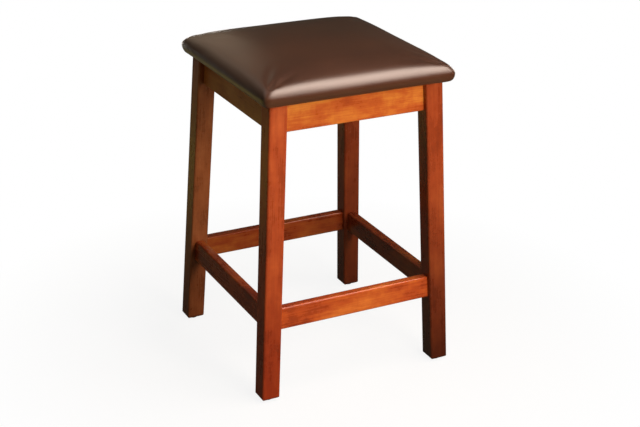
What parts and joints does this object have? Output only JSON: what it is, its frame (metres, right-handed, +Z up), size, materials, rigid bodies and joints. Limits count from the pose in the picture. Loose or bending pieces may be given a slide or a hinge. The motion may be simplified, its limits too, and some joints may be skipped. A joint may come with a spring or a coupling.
{
  "type": "backless bar stool",
  "caption": "Backless bar stool: splayed square hardwood legs, aprons, a box of foot-rail stretchers and a crowned, padded seat in smooth brown vinyl.",
  "frame": {"origin": "on the floor, under the middle of the seat", "axes": "+Z up from the floor, -Y towards the front of the stool, +X to the right seen from the front"},
  "size_m": [0.4272, 0.427, 0.666],
  "materials": {
    "stained_hardwood": "red-brown stain under satin lacquer",
    "raw_hardwood": "planed, unfinished",
    "plywood": "sanded plywood",
    "foam": "open-cell polyurethane foam",
    "vinyl": "smooth satin upholstery vinyl",
    "dust_cloth": "black non-woven cloth",
    "black_nylon": "moulded nylon",
    "zinc_steel": "zinc-plated"
  },
  "bodies": {
    "root": {"leg_front_left": "stained_hardwood", "leg_front_right": "stained_hardwood", "leg_back_left": "stained_hardwood", "leg_back_right": "stained_hardwood", "apron_front": "stained_hardwood", "apron_back": "stained_hardwood", "apron_left": "stained_hardwood", "apron_right": "stained_hardwood", "stretcher_front": "stained_hardwood", "stretcher_back": "stained_hardwood", "stretcher_left": "stained_hardwood", "stretcher_right": "stained_hardwood", "corner_block_front_left": "raw_hardwood", "corner_block_front_right": "raw_hardwood", "corner_block_back_left": "raw_hardwood", "corner_block_back_right": "raw_hardwood", "glide_front_left": "black_nylon", "glide_front_right": "black_nylon", "glide_back_left": "black_nylon", "glide_back_right": "black_nylon", "seat_board": "plywood", "seat_foam": "foam", "seat_cover": "vinyl", "dust_cloth": "dust_cloth", "block_screws": "zinc_steel", "seat_screws": "zinc_steel", "cover_staples": "zinc_steel", "cloth_staples": "zinc_steel"}
  },
  "joints": []
}
